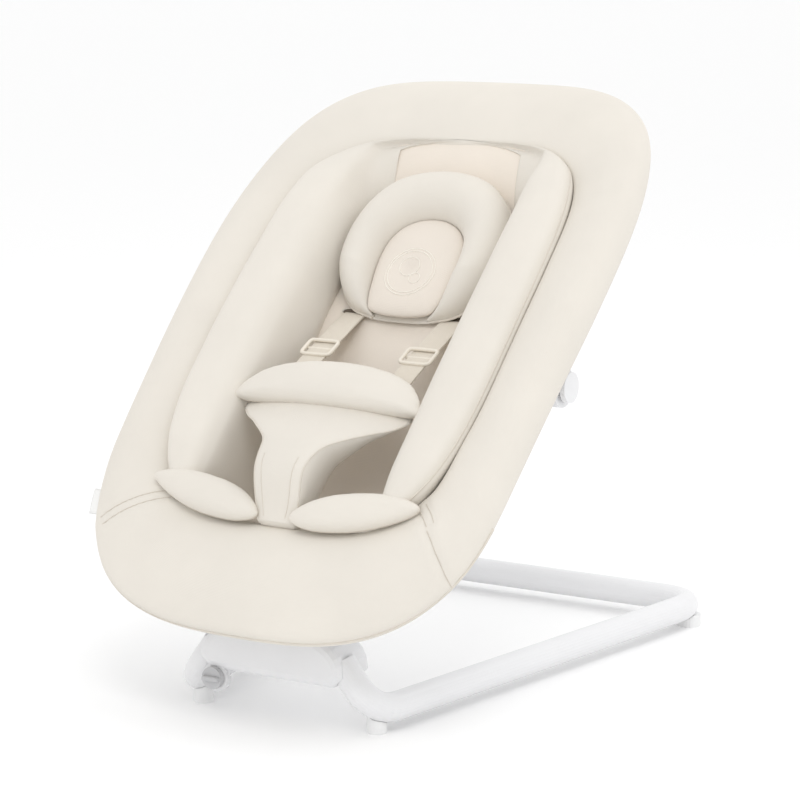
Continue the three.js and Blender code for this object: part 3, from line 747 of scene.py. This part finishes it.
def inflate(obj, voxel=0.004, pressure=4.0):
    """Cloth simulation: the pad is blown up against its own seams, which gives it its soft shape."""
    bpy.context.view_layer.objects.active = obj
    remesh = obj.modifiers.new("remesh", "REMESH")
    remesh.mode = "VOXEL"
    remesh.voxel_size = voxel
    bpy.ops.object.modifier_apply(modifier=remesh.name)
    cloth = obj.modifiers.new("cloth", "CLOTH")
    cloth.settings.use_pressure = True
    cloth.settings.uniform_pressure_force = pressure
    cloth.settings.tension_stiffness = 40
    cloth.settings.compression_stiffness = 40
    cloth.settings.bending_stiffness = 2
    cloth.settings.effector_weights.gravity = 0
    for frame_number in range(1, 13):
        bpy.context.scene.frame_set(frame_number)
    bpy.ops.object.modifier_apply(modifier=cloth.name)
    bpy.context.scene.frame_set(1)
    finer = obj.modifiers.new("finer", "SUBSURF")
    finer.levels = 1
    finer.render_levels = 1
    bpy.ops.object.modifier_apply(modifier=finer.name)
    obj.data.shade_smooth()
    return box_coordinates(obj)


def box_coordinates(obj):
    """Cloth coordinates in metres across the seat and along it, for a pad that lost its own."""
    layer = obj.data.uv_layers.new(name="flat")
    slope = (FOOT_TILT + HEAD_TILT) / 2
    co = np.array([v.co for v in obj.data.vertices])
    along = co[:, 1] * math.cos(slope) + co[:, 2] * math.sin(slope)
    for loop in obj.data.loops:
        layer.data[loop.index].uv = (co[loop.vertex_index, 0], along[loop.vertex_index])
    return obj


def closed_spline(points, count):
    """A smooth closed outline through a few (u, v) points."""
    points = np.asarray(points, float)
    fine = smooth_rows(points, 24)
    return even_loop(fine, count)[0]


# ---------------------------------------------------------------- headrest
HEADREST_OUTER = [
    (-33, 395), (-60, 405), (-81, 429), (-91, 462), (-88, 500), (-72, 536), (-44, 560), (0, 569),
    (44, 560), (72, 536), (88, 500), (91, 462), (81, 429), (60, 405), (33, 395),
]
HEADREST_INNER = [
    (-31, 397), (-40, 409), (-45, 432), (-47, 458), (-44, 481), (-34, 498), (-18, 508), (0, 511),
    (18, 508), (34, 498), (44, 481), (47, 458), (45, 432), (40, 409), (31, 397),
]
HEADREST_BOTTOM = (0, 393)
HEADREST_LOW = -31
EMBLEM_V = 441


def headrest_lift(v):
    """The headrest sinks in at its bottom and leans forward at its top, as the inlay under it does."""
    return 19 * smoothstep(395, 575, v) - 8


def make_headrest():
    """The head rest: a flat base, the horseshoe roll on it, the panel inside the roll, and piping."""
    outer = spline(HEADREST_OUTER, 120 * FINE)
    inner = spline(HEADREST_INNER, 120 * FINE)
    lean = lambda u, v: headrest_lift(v)
    base = pillow("headrest_base", closed_spline(HEADREST_OUTER + [HEADREST_BOTTOM], 160), -34, 13, lean)
    finish_soft(base, cream_cloth, 0.5, "headrest_pillow", body="headrest")
    finish_soft(headrest_roll(outer, inner), cream_cloth, 0.85, body="headrest")
    panel_edge = closed_spline(HEADREST_INNER + [HEADREST_BOTTOM], 160)
    panel = pillow("headrest_panel", panel_edge, -24, 22, lean)
    finish_soft(panel, panel_cloth, 0.6, body="headrest")
    edge = seat_point(*outer.T, headrest_lift(outer[:, 1]) + HEADREST_LOW - 1.5)
    finish_trim(cord_along("headrest_piping", edge, 0.0014), piping_cloth, body="headrest")
    make_emblem(panel)


def headrest_roll(outer, inner):
    """The stuffed horseshoe between the panel and the outside, higher where it is wider."""
    rows = []
    angle = np.linspace(0, 2 * math.pi, 28 * FINE, endpoint=False)
    across = 0.5 - 0.5 * np.cos(angle)
    for out, into in zip(outer, inner):
        width = math.dist(out, into)
        height = min(31.0, 0.72 * width)
        up = np.where(np.sin(angle) > 0, height * np.abs(np.sin(angle)) ** 0.8, 3 * np.sin(angle))
        spots = into + (out - into) * across[:, None]
        rows.append(seat_point(spots[:, 0], spots[:, 1], HEADREST_LOW + headrest_lift(spots[:, 1]) + up))
    return outward(add_grid("headrest_roll", np.array(rows), around_columns=True, caps=True))


def make_emblem(panel):
    """Plain embroidered rings in the middle of the headrest's panel."""
    rings = []
    for radius, off_u, off_v in ((27.5, 0, 0), (24.5, 0, 0), (11, -2, 6), (6, 8, -7)):
        angle = np.linspace(0, 2 * math.pi, 100, endpoint=False)
        u = off_u + radius * np.cos(angle)
        v = EMBLEM_V + off_v + radius * np.sin(angle)
        spots = np.stack([u, v], 1)
        rings.append(cord_along("ring", on_surface(panel, spots, above=0.1), 0.00055, closed=True))
    finish_trim(join("headrest_emblem", rings), thread_cloth, body="headrest")


# ---------------------------------------------------------------- harness
STRAP_U = 57
STRAP_HALF_WIDTH = 13
STRAP_TOP_V = 404
SLIDER = {"v": 335, "w": -16.8, "slope": -0.3, "half_u": 16.5, "half_v": 11.5}
# (v, w) points, from inside the slit down to under the belly pad. The slope at the slider is about
# 5 degrees flatter than the slider's travel.
STRAP_PATH = [
    (405, -62), (404, -50), (400, -44), (385, -37.5), (360, -29), (335, -19.8), (312, -11.5), (288, -4),
]


def ribbon(name, path, centre_u, half_width, thickness):
    """A flat woven strap along (v, w) points, with rounded selvedges."""
    path = spline(path, 60 * FINE)
    step = np.gradient(path, axis=0)
    step /= np.linalg.norm(step, axis=1)[:, None]
    normal = np.stack([-step[:, 1], step[:, 0]], 1)
    half = [(-1, 0), (-0.985, 0.4), (-0.94, 0.5), (-0.5, 0.56)]
    top = half + [(0, 0.58)] + [(-u, w) for u, w in half[:0:-1]]
    section = np.array(top + [(1, 0)] + [(u, -w) for u, w in top[:0:-1]])
    rows = []
    for (v, w), (nv, nw) in zip(path, normal):
        off = section[:, 1] * thickness
        rows.append(seat_point(centre_u + section[:, 0] * half_width, v + nv * off, w + nw * off))
    return outward(add_grid(name, np.array(rows), around_columns=True, caps=True))


def make_strap(side, name):
    """A shoulder strap, and the hemmed slit in the inlay that it comes out of."""
    strap = ribbon(f"strap_{name}", STRAP_PATH, side * STRAP_U, STRAP_HALF_WIDTH, 2.2)
    finish_trim(strap, strap_cloth)
    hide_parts(f"shoulder_strap_{name}")
    level = float(pad_level(STRAP_TOP_V)) + 3
    # The slit's mouth is closed by a dark sheet: painted shade of the opening.
    slit = oval_outline(side * STRAP_U, STRAP_TOP_V + 1, STRAP_HALF_WIDTH + 3.5, 3.6, 3.0)
    rows = [seat_point(slit[:, 0], slit[:, 1], level + lift) for lift in (-4, 0.9)]
    mouth = outward(add_grid(f"strap_slot_{name}", np.array(rows), around_columns=True, caps=True))
    finish_trim(mouth, slot_painted_shade)
    rim = oval_outline(side * STRAP_U, STRAP_TOP_V + 1, STRAP_HALF_WIDTH + 5, 4.6, 3.0)
    hem = cord_along(f"strap_slot_hem_{name}", seat_point(*rim.T, level + 0.6), 0.0011, closed=True)
    finish_trim(hem, piping_cloth)


def make_slider(side, name):
    """A moulded frame with a middle bar, threaded on the strap and lying flat on it."""
    loop = oval_outline(side * STRAP_U, SLIDER["v"], SLIDER["half_u"], SLIDER["half_v"], 7.0)
    level = lambda v: SLIDER["w"] + SLIDER["slope"] * (v - SLIDER["v"])
    ring = cord_along("ring", seat_point(loop[:, 0], loop[:, 1], level(loop[:, 1])), 0.002, 10, closed=True)
    ends = np.array((-1, 1)) * (SLIDER["half_u"] - 1) + side * STRAP_U
    bar = cord_along("bar", seat_point(ends, SLIDER["v"], SLIDER["w"] - 3.2), 0.0018, 10)
    slider = join(f"slider_frame_{name}", [ring, bar])
    finish_trim(slider, ivory_plastic, body=f"slider_{name}")
    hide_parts(f"strap_slider_{name}")


def oval_outline(centre_u, centre_v, half_u, half_v, power, count=64):
    """A closed outline between an oval (power 2) and a rectangle (high power)."""
    angle = np.linspace(0, 2 * math.pi, count, endpoint=False)
    c, s = np.cos(angle), np.sin(angle)
    u = half_u * np.sign(c) * np.abs(c) ** (2 / power)
    v = half_v * np.sign(s) * np.abs(s) ** (2 / power)
    return np.stack([centre_u + u, centre_v + v], 1)


# ---------------------------------------------------------------- belly, crotch and thigh pads
def seam_around(pad, outline, level, name):
    """The sewn edge of a stuffed pad: a fine cord half sunk into its surface, under the outline's level."""
    tree = BVHTree.FromObject(pad, bpy.context.evaluated_depsgraph_get())
    spots = [tree.find_nearest(Vector(spot))[0] for spot in seat_point(outline[:, 0], outline[:, 1], level)]
    return cord_along(name, spots, 0.0008, closed=True)


BELLY_OUTLINE = [
    (-107, 250), (-99, 267), (-80, 284), (-46, 295), (0, 299), (46, 295), (80, 284), (99, 267),
    (107, 250), (100, 247), (72, 247), (36, 248), (0, 248), (-36, 248), (-72, 247), (-100, 247),
]
BELLY_LEVEL = 11
BELLY_THICKNESS = 27


def make_belly_pad():
    """The arched pad across the belly, over the buckle."""
    outline = closed_spline(BELLY_OUTLINE, 160)
    pad = inflate(pillow("belly_cushion", outline, BELLY_LEVEL, BELLY_THICKNESS))
    finish_soft(pad, cream_cloth, 0.8, "belly_pad")
    # The seam cord is darker than the pad: painted shade of the seam crease.
    finish_trim(seam_around(pad, outline, BELLY_LEVEL - 6, "belly_seam"), painted_seam_shade)


# Half width of the T-shaped pad against v, and its thickness there.
CROTCH_SHAPE = [
    (117, 16, 14), (119, 21, 22), (130, 24, 34), (146, 26.5, 48), (165, 28.5, 56), (180, 31.5, 52),
    (190, 35, 47), (198, 41, 42), (206, 50, 36), (214, 60, 29), (222, 70, 22), (230, 82, 16), (238, 90, 12),
    (246, 94, 9), (253, 91, 7), (256, 79, 3),
]
CROTCH_BULGE = 37
CROTCH_BULGE_AT = 166
CROTCH_BULGE_ABOVE = 62
CROTCH_BULGE_BELOW = 36


def crotch_row(v, half, thick):
    """One slice across the pad: a crowned front, a soft edge, and the gusset that runs back from it."""
    share = np.linspace(-1, 1, 24 * FINE + 1)
    sag = -5 * (share * half / 95) ** 2
    front = 5.5 * np.abs(1 - np.abs(share) ** 3.2) ** 0.8
    back_share = np.linspace(1, -1, 12 * FINE + 1)
    back = -thick * np.abs(1 - np.abs(back_share) ** 5) ** 0.4
    back_sag = -5 * (back_share * half / 95) ** 2
    u = np.concatenate([share * half, (back_share * half * 0.93)[1:-1]])
    w = np.concatenate([front + sag, (back + back_sag)[1:-1]])
    spread = CROTCH_BULGE_ABOVE if v > CROTCH_BULGE_AT else CROTCH_BULGE_BELOW
    bulge = CROTCH_BULGE * bump_at(v, CROTCH_BULGE_AT, spread)
    return np.stack([u, np.full(len(u), v), w - 1 + bulge], 1)


def make_crotch_pad():
    """The T-shaped pad, with two seams down its stem and a corded edge."""
    slices = spline(CROTCH_SHAPE, 90 * FINE)
    points = np.array([crotch_row(*slice_here) for slice_here in slices])
    points = soft_unevenness(points, 0.3, 60, 11)
    shape = seat_point(*np.moveaxis(points, -1, 0))
    made = add_grid("crotch_cushion", shape, around_columns=True, caps=True)
    pad = finish_soft(outward(made), cream_cloth, 0.5, "crotch_pad")
    seams = []
    for side in (-1, 1):
        line = spline([(side * 12, 121), (side * 14.5, 135), (side * 17, 155), (side * 19, 172)], 50)
        seams.append(cord_along("seam", on_surface(pad, line), 0.0005, 6))
        edge = spline([(side * (half - 1.2), v) for v, half, _ in CROTCH_SHAPE[1:13]], 80)
        seams.append(cord_along("edge", on_surface(pad, edge), 0.0009, 8))
    finish_trim(join("crotch_seams", seams), piping_cloth)


THIGH_OUTLINE = [
    (17, 121), (31, 137), (54, 148), (80, 154), (104, 157), (124, 157), (139, 154), (150, 148),
    (139, 138), (118, 127), (92, 118), (62, 113), (34, 113),
]
THIGH_LEVEL = 14
THIGH_THICKNESS = 27


def make_thigh_cushion(side, name):
    """A leaf-shaped cushion at the end of the bolster."""
    outline = closed_spline(THIGH_OUTLINE, 140) * (side, 1)
    plain = pillow(f"thigh_pillow_{name}", outline, THIGH_LEVEL, THIGH_THICKNESS)
    cushion = inflate(plain, voxel=0.003)
    finish_soft(cushion, cream_cloth, 0.85, f"thigh_cushion_{name}")
    # The seam cord is darker than the cushion: painted shade of the seam crease.
    finish_trim(seam_around(cushion, outline, THIGH_LEVEL - 5, f"thigh_seam_{name}"), painted_seam_shade)


# ---------------------------------------------------------------- tag
def make_tag():
    """A blank folded label sewn into the rim's edge."""
    v_low, v_high, out = 106, 134, 13
    rows = []
    for share in np.linspace(0, 1, 9):
        v = np.linspace(v_low, v_high, 9)
        u = -(rim_half_width(v) - 2 + out * share)
        rows.append(seat_point(u, v, -5 + 1.2 * math.sin(share * 2.4)))
    tag = add_grid("rim_label", np.array(rows))
    thick = tag.modifiers.new("thickness", "SOLIDIFY")
    thick.thickness = 0.0006
    bpy.context.view_layer.objects.active = tag
    bpy.ops.object.modifier_apply(modifier=thick.name)
    finish_trim(tag, tag_cloth)
    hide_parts("rim_tag")


# ---------------------------------------------------------------- studio
def make_floor():
    """A plain pale studio floor."""
    bpy.ops.mesh.primitive_plane_add(size=60, location=(0, 0, 0))
    floor = bpy.context.object
    floor.name = "floor"
    material, shader = node_material("floor_white", (0.98, 0.98, 0.98), 0.7)
    shader.inputs["Specular IOR Level"].default_value = 0.1
    use_material(floor, material)


def add_area_light(name, location, target, size, power):
    """A round soft lamp that faces its target."""
    data = bpy.data.lights.new(name, "AREA")
    data.shape = "DISK"
    data.size = size
    data.energy = power
    lamp = bpy.data.objects.new(name, data)
    lamp.location = location
    lamp.rotation_euler = (Vector(target) - Vector(location)).to_track_quat("-Z", "Y").to_euler()
    bpy.context.scene.collection.objects.link(lamp)


def make_light():
    """An even white studio with a soft key from the front right and a soft lamp behind."""
    world = bpy.data.worlds.new("studio")
    world.use_nodes = True
    world.node_tree.nodes["Background"].inputs["Color"].default_value = (1, 1, 1, 1)
    world.node_tree.nodes["Background"].inputs["Strength"].default_value = 1.0
    bpy.context.scene.world = world
    middle = (0, 0, 0.25)
    add_area_light("key", (1.1, -1.7, 2.5), middle, 1.2, 15)
    add_area_light("rim", (0.9, 1.4, 2.4), middle, 1.4, 7)


def make_camera():
    """The camera of the main view: from the front right, a little above the seat."""
    data = bpy.data.cameras.new("camera")
    data.lens = 118.7
    data.sensor_width = 36
    camera = bpy.data.objects.new("camera", data)
    camera.location = (1.3456, -2.2454, 0.7390)
    target = Vector((0, -0.0128, 0.2757))
    camera.rotation_euler = (target - camera.location).to_track_quat("-Z", "Y").to_euler()
    bpy.context.scene.collection.objects.link(camera)
    bpy.context.scene.camera = camera


dress_cad_nodes()
make_cover()
make_inlay_pad()
make_bolster(1, "right")
make_bolster(-1, "left")
make_headrest()
make_strap(1, "right")
make_strap(-1, "left")
make_slider(1, "right")
make_slider(-1, "left")
make_belly_pad()
make_crotch_pad()
make_thigh_cushion(1, "right")
make_thigh_cushion(-1, "left")
make_tag()
make_floor()
make_light()
make_camera()
bpy.context.scene.view_settings.view_transform = "Standard"
